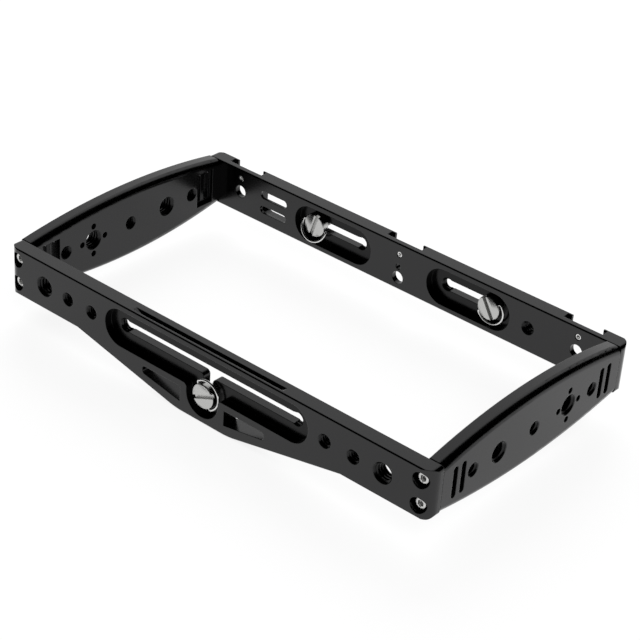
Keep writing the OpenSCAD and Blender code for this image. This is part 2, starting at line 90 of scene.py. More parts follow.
# Sizes and colours


class CageFinish(PropertyGroup):
    """Colours and surface finishes."""

    anodise_colour: FloatVectorProperty(
        name="Anodising", description="Colour of the rails",
        subtype="COLOR", default=(0.042, 0.042, 0.0425), min=0, max=1,
    )
    rubbed_colour: FloatVectorProperty(
        name="Rubbed edges", description="Colour of the rails along their rubbed edges",
        subtype="COLOR", default=(0.055, 0.055, 0.056), min=0, max=1,
    )
    thread_colour: FloatVectorProperty(
        name="Threads", description="Colour of the cut threads in the rails",
        subtype="COLOR", default=(0.018, 0.018, 0.0182), min=0, max=1,
    )
    steel_colour: FloatVectorProperty(
        name="Turned steel", description="Colour of the thumb screws",
        subtype="COLOR", default=(0.54, 0.54, 0.53), min=0, max=1,
    )
    cap_colour: FloatVectorProperty(
        name="Corner screws", description="Colour of the corner screws",
        subtype="COLOR", default=(0.66, 0.66, 0.65), min=0, max=1,
    )
    stop_colour: FloatVectorProperty(
        name="Stop screws", description="Colour of the stop screws",
        subtype="COLOR", default=(0.9, 0.9, 0.89), min=0, max=1,
    )
    wire_colour: FloatVectorProperty(
        name="Wire", description="Colour of the bails",
        subtype="COLOR", default=(0.72, 0.72, 0.71), min=0, max=1,
    )
    edge_radius: FloatProperty(
        name="Edge radius", description="Rounding that the edges show",
        unit="LENGTH", default=0.45 * MM, min=0, max=MM,
    )
    grain_size: FloatProperty(
        name="Blasted grain", description="Size of the blasted surface's grain",
        unit="LENGTH", default=0.22 * MM, min=0.05 * MM, max=MM,
    )
    grain_depth: FloatProperty(
        name="Grain depth", description="Depth of the blasted surface's grain",
        unit="LENGTH", default=0.006 * MM, min=0, max=0.1 * MM,
    )
    # Painted shade: the milled floors in the recesses keep only this share of their sheen, so they show
    # darker
    floor_shade_sheen: FloatProperty(
        name="Milled sheen", description="Share of the sheen that the milled floors keep",
        default=0.5, min=0, max=1,
    )
    # Painted shade: the rounded rims keep only this share of their sheen, painting dark lines along the
    # edges
    rim_shade_sheen: FloatProperty(
        name="Rim sheen", description="Share of the sheen that the rounded edges keep",
        default=0.4, min=0, max=1,
    )
    seam_width: FloatProperty(
        name="Seam width", description="Width of the dark seam on each side of a joint between two rails",
        unit="LENGTH", default=0.2 * MM, min=0, max=MM,
    )
    turning_pitch: FloatProperty(
        name="Turning marks", description="Distance between the turning marks on the screws",
        unit="LENGTH", default=0.16 * MM, min=0.02 * MM, max=MM,
    )


class CageThreads(PropertyGroup):
    """Sizes of the screw threads."""

    small_radius: FloatProperty(
        name="Small thread radius", description="Outer radius of the small thread",
        unit="LENGTH", default=3.175 * MM,
    )
    small_pitch: FloatProperty(
        name="Small thread pitch", description="Pitch of the small thread",
        unit="LENGTH", default=1.27 * MM,
    )
    large_radius: FloatProperty(
        name="Large thread radius", description="Outer radius of the large thread",
        unit="LENGTH", default=4.7625 * MM,
    )
    large_pitch: FloatProperty(
        name="Large thread pitch", description="Pitch of the large thread",
        unit="LENGTH", default=1.5875 * MM,
    )
    corner_radius: FloatProperty(
        name="Corner thread radius", description="Outer radius of the corner screws' thread",
        unit="LENGTH", default=1.5 * MM,
    )
    corner_pitch: FloatProperty(
        name="Corner thread pitch", description="Pitch of the corner screws' thread",
        unit="LENGTH", default=0.5 * MM,
    )
    depth_share: FloatProperty(
        name="Depth share", description="Depth of a thread as a share of its pitch",
        default=0.6, min=0.3, max=0.7,
    )
    mouth: FloatProperty(
        name="Mouth chamfer", description="Depth of the chamfer at a tapped hole's mouths",
        unit="LENGTH", default=0.3 * MM,
    )
    facets: IntProperty(name="Facets", description="Facets round a thread", default=56, min=16, max=128)


class CageScrews(PropertyGroup):
    """Sizes of the thumb screws, their bails and the corner screws."""

    head_radius: FloatProperty(
        name="Head radius", description="Radius of the thumb screws' heads", unit="LENGTH", default=6 * MM
    )
    head_thickness: FloatProperty(
        name="Head thickness", description="Thickness of the thumb screws' heads",
        unit="LENGTH", default=3.6 * MM,
    )
    shank_radius: FloatProperty(
        name="Shank radius", description="Radius of the thumb screws' plain shanks",
        unit="LENGTH", default=2.45 * MM,
    )
    thread_length: FloatProperty(
        name="Thread length", description="Length of the thumb screws' threads",
        unit="LENGTH", default=6 * MM,
    )
    tip_chamfer: FloatProperty(
        name="Tip chamfer", description="Chamfer at the thumb screws' tips",
        unit="LENGTH", default=0.6 * MM,
    )
    wire_radius: FloatProperty(
        name="Wire radius", description="Radius of the bails' wire", unit="LENGTH", default=0.55 * MM
    )
    bail_radius: FloatProperty(
        name="Bail radius", description="Radius of the bails' bow, to the middle of the wire",
        unit="LENGTH", default=7.05 * MM,
    )
    bail_leg: FloatProperty(
        name="Bail leg", description="Length of the bails' straight legs", unit="LENGTH", default=1.4 * MM
    )
    bail_bend: FloatProperty(
        name="Bail bend", description="Radius of the bends at the bails' pins",
        unit="LENGTH", default=0.7 * MM,
    )
    bail_pin: FloatProperty(
        name="Bail pin", description="Depth of the bails' pins in the heads",
        unit="LENGTH", default=1.6 * MM,
    )
    hinge_drop: FloatProperty(
        name="Hinge drop", description="Depth of the bails' hinges below the heads' faces",
        unit="LENGTH", default=1.2 * MM,
    )
    cap_radius: FloatProperty(
        name="Corner head radius", description="Radius of the corner screws' heads",
        unit="LENGTH", default=2.75 * MM,
    )
    cap_height: FloatProperty(
        name="Corner head height", description="Height of the corner screws' heads",
        unit="LENGTH", default=2.8 * MM,
    )
    cap_edge: FloatProperty(
        name="Corner head rounding", description="Rounding of the corner screws' heads",
        unit="LENGTH", default=0.4 * MM,
    )
    stop_edge: FloatProperty(
        name="Stop screw rounding", description="Rounding of the stop screws' ends",
        unit="LENGTH", default=0.2 * MM,
    )
    stop_socket_width: FloatProperty(
        name="Stop socket width", description="Width across the flats of the stop screws' sockets",
        unit="LENGTH", default=1.5 * MM,
    )
    stop_socket_depth: FloatProperty(
        name="Stop socket depth", description="Depth of the stop screws' sockets",
        unit="LENGTH", default=1.2 * MM,
    )
    socket_width: FloatProperty(
        name="Socket width", description="Width across the flats of the corner screws' sockets",
        unit="LENGTH", default=2.5 * MM,
    )
    socket_depth: FloatProperty(
        name="Socket depth", description="Depth of the corner screws' sockets",
        unit="LENGTH", default=1.3 * MM,
    )
    corner_length: FloatProperty(
        name="Corner screw length", description="Length of the corner screws below their heads",
        unit="LENGTH", default=6 * MM,
    )


class CageStage(PropertyGroup):
    """Floor, lamps and camera."""

    floor_colour: FloatVectorProperty(
        name="Floor", description="Colour of the floor",
        subtype="COLOR", default=(0.86, 0.86, 0.86), min=0, max=1,
    )
    floor_white: FloatProperty(
        name="Floor white", description="Share of plain white that the camera sees in the floor",
        default=0.86, min=0, max=1,
    )
    key_power: FloatProperty(
        name="Key lamp", description="Power of the large soft lamp behind the cage",
        unit="POWER", default=26,
    )
    fill_power: FloatProperty(
        name="Fill lamp", description="Power of the soft lamp beside the camera", unit="POWER", default=10
    )
    lens: FloatProperty(name="Lens", description="Focal length in millimetres", default=111.27)
    camera_place: FloatVectorProperty(
        name="Camera place", description="Where the camera stands",
        subtype="TRANSLATION", unit="LENGTH", default=(0.476192, -0.587341, 0.462952),
    )
    azimuth: FloatProperty(
        name="Camera azimuth", description="Direction from which the camera looks",
        subtype="ANGLE", default=math.radians(40.0334),
    )
    elevation: FloatProperty(
        name="Camera elevation", description="Height of the camera above the horizon",
        subtype="ANGLE", default=math.radians(32.2742),
    )
    roll: FloatProperty(
        name="Camera roll", description="Turn of the camera about its own line of sight",
        subtype="ANGLE", default=math.radians(3.4989),
    )
    shift_x: FloatProperty(
        name="Shift across", description="Sideways shift of the picture", default=0.0625
    )
    shift_y: FloatProperty(name="Shift up", description="Upward shift of the picture", default=0.03125)


# Meshes

# Points nearer than this are merged, in a new mesh and in a copy of a packed one
WELD = 2e-7
HEAD_WELD = 2e-6
# Faces turned less than this from each other become one, in that copy
FLAT_ANGLE = math.radians(0.5)
# Edges turned more than this stay sharp
SHARP_ANGLE = math.radians(34)
# The attribute that keeps the places for the turning marks
TURNING = "turning"


def sheet_mesh(grid, wrap_u=False, wrap_v=False):
    """Points and quads of a grid of shape (rows, columns, 3).

    Corner k of the quad at (i, j) is one of (i, j), (i, j + 1), (i + 1, j + 1), (i + 1, j); indices
    wrap round where a direction is closed.
    """
    rows, columns = grid.shape[:2]
    i = np.arange(rows if wrap_u else rows - 1)[:, None]
    j = np.arange(columns if wrap_v else columns - 1)[None, :]
    i2, j2 = (i + 1) % rows, (j + 1) % columns
    quads = np.stack([i * columns + j, i * columns + j2, i2 * columns + j2, i2 * columns + j], -1)
    return grid.reshape(-1, 3), quads.reshape(-1, 4)


def joined(parts):
    """One list of points and one of faces from several (points, faces) pairs."""
    points, faces, base = [], [], 0
    for some_points, some_faces in parts:
        points.append(some_points)
        faces.append(some_faces + base)
        base += len(some_points)
    return np.concatenate(points), np.concatenate(faces)


def plain_mesh(name, points, faces):
    """A mesh of points and faces as they are."""
    mesh = bpy.data.meshes.new(name)
    mesh.from_pydata(points.tolist(), [], faces.tolist())
    return mesh


def closed_mesh(name, points, faces):
    """A mesh of points and quads, with doubled points merged, holes filled and faces turned outwards."""
    mesh = plain_mesh(name, points, faces)
    work = bmesh.new()
    work.from_mesh(mesh)
    bmesh.ops.remove_doubles(work, verts=work.verts, dist=WELD)
    bmesh.ops.dissolve_degenerate(work, edges=work.edges, dist=WELD)
    bmesh.ops.holes_fill(work, edges=[edge for edge in work.edges if edge.is_boundary], sides=0)
    bmesh.ops.recalc_face_normals(work, faces=work.faces)
    work.to_mesh(mesh)
    work.free()
    return mesh


def new_object(name, data):
    """A new object in the scene's collection."""
    made = bpy.data.objects.new(name, data)
    bpy.context.scene.collection.objects.link(made)
    return made


def dress(piece, material):
    """Gives a piece one material in place of what it had."""
    piece.data.materials.clear()
    piece.data.materials.append(material)


def new_piece(mesh, material):
    """An object named as its mesh, smooth up to its sharp edges, with one material."""
    mesh.shade_smooth()
    mesh.set_sharp_from_angle(angle=SHARP_ANGLE)
    piece = new_object(mesh.name, mesh)
    dress(piece, material)
    return piece


def lying(axis):
    """The matrix that turns +Z onto an axis."""
    return np.array(Vector(axis).to_track_quat("Z", "Y").to_matrix())


def placed(points, origin, axis):
    """Points of a local frame whose +Z is axis, moved to origin."""
    return points @ lying(axis).T + np.array(origin)


def facing_front(turn):
    """The matrix that turns +Z onto -Y, and +X into the XZ plane at an angle from +X towards +Z."""
    return np.array(Matrix.Rotation(math.pi / 2, 3, "X") @ Matrix.Rotation(turn, 3, "Z"))


def remember_turning(piece, origin, turn):
    """Keeps each vertex's place in the frame that the piece was turned in, for its turning marks.

    The place is the vertex's own, less the frame's origin, turned back by the frame's matrix.
    """
    places = np.zeros(len(piece.data.vertices) * 3, np.float32)
    piece.data.vertices.foreach_get("co", places)
    local = (places.reshape(-1, 3).astype(float) - np.array(origin)) @ turn
    attribute = piece.data.attributes.new(TURNING, "FLOAT_VECTOR", "POINT")
    attribute.data.foreach_set("vector", np.ascontiguousarray(local, np.float32).ravel())


# Threads

# Shares of a thread's pitch
ROOT_SHARE = 1 / 8
CREST_SHARE = 1 / 4
ROWS_PER_PITCH = 8
# How far a hole's thread stands inside the wall, and how far its back lies behind it
ROOT_STAND = 0.015 * MM
BACK_DEPTH = 0.04 * MM


def thread_profile(phase, depth):
    """Height of a thread above its root, at a phase that runs from 0 to 1 over a pitch.

    It is depth over the crest's share round phase 0 and 0 over the root's share round phase 1/2, with a
    straight flank between them.
    """
    distance = np.abs((phase + 0.5) % 1.0 - 0.5) * 2
    flank = 1 - ROOT_SHARE - CREST_SHARE
    return depth * np.clip((1 - ROOT_SHARE - distance) / flank, 0, 1)


def thread_grid(radius, pitch, depth, low, high, facets, inward, steps, start=0.0, sweep=FULL_TURN):
    """A helical thread between two ends, as a grid of rows along the axis by columns round it.

    Row k at angle t lies at z = low - pitch + k * pitch / 8 + pitch * t / 2 pi, held between low and
    high. An outward thread adds its profile to the root's radius, and an inward one takes it away. At
    each end a 45 degree cone cuts the profile, from that end's step above the root.
    """
    low_step, high_step = steps
    rows = int(math.ceil((high - low) / pitch + 2) * ROWS_PER_PITCH) + 1
    angle = start + sweep * np.arange(facets + 1) / facets
    phase = np.arange(rows)[:, None] / ROWS_PER_PITCH + 0 * angle[None, :]
    z = low - pitch + pitch * phase + pitch * (angle - start)[None, :] / FULL_TURN
    z = np.clip(z, low, high)
    height = thread_profile(phase, depth)
    height = np.minimum(height, np.minimum(low_step + z - low, high_step + high - z))
    r = radius - height if inward else radius - depth + height
    return np.stack([r * np.cos(angle), r * np.sin(angle), z], -1)


def tapped_hole(radius, pitch, depth, length, mouth, facets, start=0.0, sweep=FULL_TURN):
    """A closed sleeve along +Z: an inward thread on a tapped hole's wall, and a buried back behind it.

    The thread's root stands a little inside the wall, and the back lies a little behind it.
    """
    low, high = -length / 2 + mouth, length / 2 - mouth
    inner = thread_grid(radius - ROOT_STAND, pitch, depth, low, high, facets, True, (0.0, 0.0), start, sweep)
    angle = start + sweep * np.arange(facets + 1) / facets
    back = radius + BACK_DEPTH
    ring = np.stack([back * np.cos(angle), back * np.sin(angle), 0 * angle], -1)
    loop = np.concatenate([ring[None] + (0, 0, low), inner, ring[None] + (0, 0, high)])
    return sheet_mesh(loop, wrap_u=True)


def threaded_rod(radius, pitch, depth, low, high, tip, neck, facets):
    """A right-hand outward thread along Z from low, its chamfered tip, to high, with a disc at each end."""
    outer = thread_grid(radius, pitch, depth, low, high, facets, False, (depth - tip, neck))
    centre = np.zeros((1, facets + 1, 3))
    return sheet_mesh(np.concatenate([centre + (0, 0, low), outer, centre + (0, 0, high)]))


# Turned heads

RIM_STEPS = 7
# Shares of a socket's width: the bevel at its mouth and floor, and the drill point under its floor
SOCKET_BEVEL = 0.04
SOCKET_POINT = 0.1
# Shares of a socket's hexagon at the mouth and at the floor
MOUTH_SHARE = 1.02
FLOOR_SHARE = 0.93


def lathe(profile, facets, width):
    """Turns a profile of (radius, z) pairs about Z.

    A radius below 0 means a share of a hexagon of the given width across its flats: its distance from
    the axis is the share times half the width over cos of the angle from the nearest flat's middle.
    """
    angle = FULL_TURN * np.arange(facets) / facets
    r, z = np.array(profile, float).T
    flat = (width / 2) / np.cos((angle + math.pi / 6) % (math.pi / 3) - math.pi / 6)
    reach = np.where((r < 0)[:, None], -r[:, None] * flat[None, :], np.abs(r)[:, None])
    points = np.stack([reach * np.cos(angle), reach * np.sin(angle), z[:, None] + 0 * reach], -1)
    return sheet_mesh(points, wrap_v=True)


def socket_profile(radius, height, edge, width, drop):
    """A socket head's profile, from the middle of its underside over the rim to the middle of its socket.

    Its pairs are (radius, z). The rim is a quarter of a circle, and a radius below 0 is a share of the
    socket's hexagon, as lathe reads it.
    """
    rim = [
        (radius - edge + edge * math.cos(a), -edge + edge * math.sin(a))
        for a in np.linspace(0, math.pi / 2, RIM_STEPS)
    ]
    bevel = SOCKET_BEVEL * width
    corner = width / 2 / math.cos(math.pi / 6)
    underside = [(0, -height), (radius - edge / 3, -height), (radius, -height + edge / 3)]
    mouth = [(corner + bevel, 0), (-MOUTH_SHARE, -bevel), (-1.0, -2 * bevel)]
    floor = [(-1.0, -drop + bevel), (-FLOOR_SHARE, -drop), (0, -drop - SOCKET_POINT * width)]
    return underside + rim + mouth + floor


# Wire bails

WIRE_SIDES = 20
# Shares of the wire's radius at its rounded ends
END_LENGTH = 0.25
END_RADIUS = 0.72


def wire_tube(path, radius):
    """A round wire along a path in the XY plane, with its ends rounded off by a smaller ring and a pole.

    point = path + radius * (cos a * side + sin a * up), where up is +Z and side = up x tangent.
    """
    up = np.array((0.0, 0.0, 1.0))
    tangent = np.gradient(path, axis=0)
    tangent /= np.linalg.norm(tangent, axis=1)[:, None]
    side = np.cross(up, tangent)
    side /= np.linalg.norm(side, axis=1)[:, None]
    a = FULL_TURN * np.arange(WIRE_SIDES) / WIRE_SIDES
    ring = np.cos(a)[None, :, None] * side[:, None, :] + np.sin(a)[None, :, None] * up
    tube = path[:, None, :] + radius * ring
    first = path[:1, None, :] - tangent[:1, None, :] * radius * END_LENGTH
    last = path[-1:, None, :] + tangent[-1:, None, :] * radius * END_LENGTH
    small_first = first + radius * END_RADIUS * ring[:1]
    small_last = last + radius * END_RADIUS * ring[-1:]
    grid = np.concatenate([first + 0 * ring[:1], small_first, tube, small_last, last + 0 * ring[-1:]])
    return sheet_mesh(grid, wrap_v=True)


def bail_path(size):
    """The bail's centre line in its own XY plane.

    One half is a pin, a bend, a leg and half of the bow. The pin and the leg are straight, and the bend
    and the bow are quarters of a circle. The other half is the same across the X axis.
    """
    pin_steps, bend_steps, leg_steps, bow_steps = 6, 9, 4, 41
    x_end, y_end = size.bail_leg, size.bail_radius
    pin_y = np.linspace(size.head_radius - size.bail_pin, y_end - size.bail_bend, pin_steps)
    pin = np.stack([np.zeros(pin_steps), pin_y], -1)
    t = np.linspace(0, math.pi / 2, bend_steps)[1:]
    bend = np.stack([size.bail_bend * (1 - np.cos(t)), y_end - size.bail_bend * (1 - np.sin(t))], -1)
    leg_x = np.linspace(size.bail_bend, x_end, leg_steps)[1:]
    leg = np.stack([leg_x, np.full(leg_steps - 1, y_end)], -1)
    t = np.linspace(math.pi / 2, 0, bow_steps)[1:]
    bow = np.stack([x_end + y_end * np.cos(t), y_end * np.sin(t)], -1)
    half = np.concatenate([pin, bend, leg, bow])
    whole = np.concatenate([half, (half * (1, -1))[-2::-1]])
    return np.concatenate([whole, np.zeros((len(whole), 1))], -1)


# Node helpers

# A Mix node's sockets for two colours and for their mixture
MIX_FIRST, MIX_SECOND, MIX_RESULT = 6, 7, 2


def node(tree, kind, inputs=None, **settings):
    """A new node with its settings, and with input sockets set to a value or linked from an output."""
    made = tree.nodes.new(kind)
    for key, value in settings.items():
        setattr(made, key, value)
    for key, value in (inputs or {}).items():
        if isinstance(value, bpy.types.NodeSocket):
            tree.links.new(value, made.inputs[key])
        else:
            made.inputs[key].default_value = value
    return made


def maths(tree, operation, first, second=None, clamp=False):
    """The result of a Math node on one or two numbers."""
    inputs = {0: first} if second is None else {0: first, 1: second}
    return node(tree, "ShaderNodeMath", inputs, operation=operation, use_clamp=clamp).outputs[0]


def vector_maths(tree, operation, first, second=None):
    """The outputs of a Vector Math node on one or two vectors."""
    inputs = {0: first} if second is None else {0: first, 1: second}
    return node(tree, "ShaderNodeVectorMath", inputs, operation=operation).outputs


def split(tree, vector):
    """The X, Y and Z outputs of a vector."""
    return node(tree, "ShaderNodeSeparateXYZ", {"Vector": vector}).outputs


def noise(tree, place, scale, detail, roughness=0.5):
    """The value of a noise at a place."""
    inputs = {"Vector": place, "Scale": scale, "Detail": detail, "Roughness": roughness}
    return node(tree, "ShaderNodeTexNoise", inputs).outputs["Fac"]


def bump(tree, height, depth, normal):
    """A normal that follows a height as deep as given."""
    inputs = {"Strength": 1.0, "Distance": depth, "Height": height, "Normal": normal}
    return node(tree, "ShaderNodeBump", inputs).outputs["Normal"]


def ranged(tree, value, low, high, spread=(0.0, 1.0)):
    """A value's spread mapped to the range from low to high."""
    inputs = {"Value": value, "From Min": spread[0], "From Max": spread[1], "To Min": low, "To Max": high}
    return node(tree, "ShaderNodeMapRange", inputs).outputs["Result"]


def blended(tree, factor, first, second):
    """The colour between two at a factor from 0 to 1, where each is a colour or another node's output."""
    first, second = (
        end if isinstance(end, bpy.types.NodeSocket) else (*end, 1) for end in (first, second)
    )
    inputs = {"Factor": factor, MIX_FIRST: first, MIX_SECOND: second}
    return node(tree, "ShaderNodeMix", inputs, data_type="RGBA").outputs[MIX_RESULT]


def scaled(colour, share):
    """A colour made darker or lighter."""
    return [part * share for part in colour]


# Shared effects


def group(name, inputs, outputs):
    """A new node group, with the sockets that bring its inputs in and take its outputs out.

    Each socket is a number with the default that is given, or a vector where the default is None.
    """
    tree = bpy.data.node_groups.new(name, "ShaderNodeTree")
    for way, sockets in (("INPUT", inputs), ("OUTPUT", outputs)):
        for socket, default in sockets.items():
            kind = "NodeSocketVector" if default is None else "NodeSocketFloat"
            made = tree.interface.new_socket(name=socket, in_out=way, socket_type=kind)
            if default is not None:
                made.default_value = default
    return tree, tree.nodes.new("NodeGroupInput").outputs, tree.nodes.new("NodeGroupOutput").inputs


def blasted_grain():
    """Fine dimples of a blasted surface: a normal and a mask from one fine and one coarse noise."""
    coarse_share = 0.012
    tree, given, out = group(
        "Blasted Grain",
        {"Vector": None, "Grains per metre": 4500.0, "Depth": 0.006 * MM, "Normal": None},
        {"Normal": None, "Mask": 0.0},
    )
    fine = noise(tree, given["Vector"], given["Grains per metre"], 2.0, 0.6)
    coarse_scale = maths(tree, "MULTIPLY", given["Grains per metre"], coarse_share)
    coarse = noise(tree, given["Vector"], coarse_scale, 3.0, 0.55)
    mean = maths(tree, "MULTIPLY", maths(tree, "ADD", fine, coarse), 0.5)
    tree.links.new(bump(tree, fine, given["Depth"], given["Normal"]), out["Normal"])
    tree.links.new(mean, out["Mask"])
    return tree


def rubbed_edges_and_rim_shade():
    """Masks of the edges, from how far the rounded normal turns from the face's own: Mask marks the rubbed
    edges' wear, and Edge the rims that get painted shade.

    Edge is 1 minus their dot product, times the gain, and Mask is the same broken up by a noise.
    """
    tree, given, out = group(
        "Rubbed Edges And Rim Shade",
        {"Rounded normal": None, "Face normal": None, "Vector": None, "Gain": 6.0},
        {"Mask": 0.0, "Edge": 0.0},
    )
    along = vector_maths(tree, "DOT_PRODUCT", given["Rounded normal"], given["Face normal"])["Value"]
    edge = maths(tree, "MULTIPLY", maths(tree, "SUBTRACT", 1.0, along), given["Gain"], clamp=True)
    broken = ranged(tree, noise(tree, given["Vector"], 180.0, 4.0), 0.0, 1.0, (0.35, 0.65))
    tree.links.new(maths(tree, "MULTIPLY", edge, broken, clamp=True), out["Mask"])
    tree.links.new(edge, out["Edge"])
    return tree


def floor_shade_mask():
    """1 on the floors milled into the rails, which the rails' finish darkens as painted shade in the
    recesses.

    They are the faces that look along X or Y and lie at least 1 mm inside a rail's thickness.
    """
    least_depth, least_facing = 1 * MM, 0.9
    tree, given, out = group(
        "Floor Shade Mask",
        {"Vector": None, "Normal": None, "Inner faces": None, "Outer faces": None},
        {"Mask": 0.0},
    )
    place = vector_maths(tree, "ABSOLUTE", given["Vector"])["Vector"]
    inside = vector_maths(tree, "SUBTRACT", place, given["Inner faces"])["Vector"]
    outside = vector_maths(tree, "SUBTRACT", given["Outer faces"], place)["Vector"]
    depth = split(tree, vector_maths(tree, "MINIMUM", inside, outside)["Vector"])
    facing = split(tree, vector_maths(tree, "ABSOLUTE", given["Normal"])["Vector"])
    masks = []
    for axis in ("X", "Y"):
        deep = maths(tree, "GREATER_THAN", depth[axis], least_depth)
        across = maths(tree, "GREATER_THAN", facing[axis], least_facing)
        masks.append(maths(tree, "MULTIPLY", deep, across))
    tree.links.new(maths(tree, "MAXIMUM", *masks), out["Mask"])
    return tree


def rail_seams():
    """1 in a narrow band on both sides of the joints between the long rails and the side rails."""
    tree, given, out = group(
        "Rail Seams",
        {"Vector": None, "Inner X": INNER_X, "Inner Y": REAR_INNER_Y, "Width": 0.2 * MM},
        {"Mask": 0.0},
    )
    place = split(tree, vector_maths(tree, "ABSOLUTE", given["Vector"])["Vector"])
    away = maths(tree, "ABSOLUTE", maths(tree, "SUBTRACT", place["Y"], given["Inner Y"]))
    near = maths(tree, "LESS_THAN", away, given["Width"])
    beyond = maths(tree, "GREATER_THAN", place["X"], given["Inner X"])
    tree.links.new(maths(tree, "MULTIPLY", near, beyond), out["Mask"])
    return tree


def turning_marks():
    """Rings left by a lathe tool: a noise of the distance from the turning axis plus the height along it."""
    tree, given, out = group(
        "Turning Marks",
        {"Turned place": None, "Rings per metre": 6000.0, "Depth": 0.003 * MM, "Normal": None},
        {"Normal": None, "Mask": 0.0},
    )
    flat = vector_maths(tree, "MULTIPLY", given["Turned place"], (1.0, 1.0, 0.0))["Vector"]
    radius = vector_maths(tree, "LENGTH", flat)["Value"]
    along = maths(tree, "ADD", radius, split(tree, given["Turned place"])["Z"])
    place = maths(tree, "MULTIPLY", along, given["Rings per metre"])
    inputs = {"W": place, "Scale": 1.0, "Detail": 2.0}
    rings = node(tree, "ShaderNodeTexNoise", inputs, noise_dimensions="1D").outputs["Fac"]
    tree.links.new(bump(tree, rings, given["Depth"], given["Normal"]), out["Normal"])
    tree.links.new(rings, out["Mask"])
    return tree


EFFECTS = {
    "Blasted Grain": blasted_grain,
    "Rubbed Edges And Rim Shade": rubbed_edges_and_rim_shade,
    "Floor Shade Mask": floor_shade_mask,
    "Rail Seams": rail_seams,
    "Turning Marks": turning_marks,
}


def effect(tree, name, inputs):
    """The outputs of a shared effect placed in a material; its group is built when it is first asked for."""
    built = bpy.data.node_groups.get(name) or EFFECTS[name]()
    return node(tree, "ShaderNodeGroup", inputs, node_tree=built).outputs


# Materials

BEVEL_SAMPLES = 6
# Where most of a noise's values lie
NOISE_SPREAD = (0.3, 0.7)
# How far outside the side rails' inner faces a seam starts
SEAM_START = 0.2 * MM


def cleared(holder):
    """The node tree of a material or a world, without its nodes."""
    holder.use_nodes = True
    holder.node_tree.nodes.clear()
    return holder.node_tree


def new_material(name):
    """A new material and its empty node tree."""
    material = bpy.data.materials.new(name)
    return material, cleared(material)


def metal(tree, colour, roughness, normal):
    """Puts a metal with a changing colour, roughness and normal on a material's output."""
    inputs = {"Base Color": colour, "Metallic": 1.0, "Roughness": roughness, "Normal": normal}
    shader = node(tree, "ShaderNodeBsdfPrincipled", inputs)
    node(tree, "ShaderNodeOutputMaterial", {"Surface": shader.outputs["BSDF"]})


def rounded_edges(tree, look):
    """A normal that rounds off the edges."""
    bevel = node(tree, "ShaderNodeBevel", {"Radius": look.edge_radius}, samples=BEVEL_SAMPLES)
    return bevel.outputs["Normal"]


def anodised(look):
    """Satin black anodising on blasted aluminium, as a dark metal.

    Rubbed edges are slightly lighter. Milled floors and rounded rims keep only a share of the sheen, as
    painted shade in the recesses and along the rims, and the seams between the rails keep none.
    """
    material, tree = new_material("Black Anodising")
    place = node(tree, "ShaderNodeTexCoord").outputs["Object"]
    face = node(tree, "ShaderNodeNewGeometry").outputs["Normal"]
    rounded = rounded_edges(tree, look)
    grain = effect(
        tree,
        "Blasted Grain",
        {
            "Vector": place,
            "Grains per metre": 1 / look.grain_size,
            "Depth": look.grain_depth,
            "Normal": rounded,
        },
    )
    edges = effect(
        tree,
        "Rubbed Edges And Rim Shade",
        {"Rounded normal": rounded, "Face normal": face, "Vector": place, "Gain": 5.0},
    )
    inner, outer = (INNER_X, REAR_INNER_Y, 0), (OUTER_X, REAR_Y, 0)
    floors = effect(
        tree,
        "Floor Shade Mask",
        {"Vector": place, "Normal": face, "Inner faces": inner, "Outer faces": outer},
    )
    seams = effect(
        tree,
        "Rail Seams",
        {
            "Vector": place,
            "Inner X": INNER_X + SEAM_START,
            "Inner Y": REAR_INNER_Y,
            "Width": look.seam_width,
        },
    )
    # Painted shade: the milled floors in the recesses and the rounded rims lose part of their sheen, and the
    # seams lose all of it
    floor_shade_level = ranged(tree, floors["Mask"], 1.0, look.floor_shade_sheen)
    rim_shade_sheen = ranged(tree, edges["Edge"], 1.0, look.rim_shade_sheen)
    open_face = maths(tree, "SUBTRACT", 1.0, seams["Mask"])
    level = maths(tree, "MULTIPLY", maths(tree, "MULTIPLY", floor_shade_level, rim_shade_sheen), open_face)
    colour = blended(tree, edges["Mask"], look.anodise_colour, look.rubbed_colour)
    shaded = blended(tree, level, (0, 0, 0), colour)
    metal(tree, shaded, ranged(tree, grain["Mask"], 0.16, 0.24, NOISE_SPREAD), grain["Normal"])
    return material


def grained_metal(name, first, second, grains, depth, roughness):
    """A metal whose grain runs through its colour, roughness and normal."""
    material, tree = new_material(name)
    place = node(tree, "ShaderNodeTexCoord").outputs["Object"]
    grain = effect(tree, "Blasted Grain", {"Vector": place, "Grains per metre": grains, "Depth": depth})
    colour = blended(tree, grain["Mask"], first, second)
    metal(tree, colour, ranged(tree, grain["Mask"], *roughness, NOISE_SPREAD), grain["Normal"])
    return material


def cut_thread(look):
    """Anodising in the cut threads: darker than the faces, and a little rougher."""
    lighter = scaled(look.thread_colour, 1.7)
    return grained_metal("Anodised Thread", look.thread_colour, lighter, 3000.0, 2e-6, (0.2, 0.32))


def drawn_wire(look):
    """Bright drawn wire: smooth, with a faint grain."""
    darker = scaled(look.wire_colour, 0.9)
    return grained_metal("Drawn Wire", darker, look.wire_colour, 2500.0, 2e-6, (0.12, 0.22))


def turned_steel(look, name, bright, roughness, depth):
    """Turned stainless steel: rings round the turning axis in height, colour and roughness."""
    material, tree = new_material(name)
    turned = node(tree, "ShaderNodeAttribute", attribute_name=TURNING, attribute_type="GEOMETRY")
    rings = effect(
        tree,
        "Turning Marks",
        {
            "Turned place": turned.outputs["Vector"],
            "Rings per metre": 1 / look.turning_pitch,
            "Depth": depth,
            "Normal": rounded_edges(tree, look),
        },
    )
    colour = blended(tree, rings["Mask"], scaled(bright, 0.92), bright)
    metal(tree, colour, ranged(tree, rings["Mask"], *roughness, NOISE_SPREAD), rings["Normal"])
    return material


# Where the holes and screws are

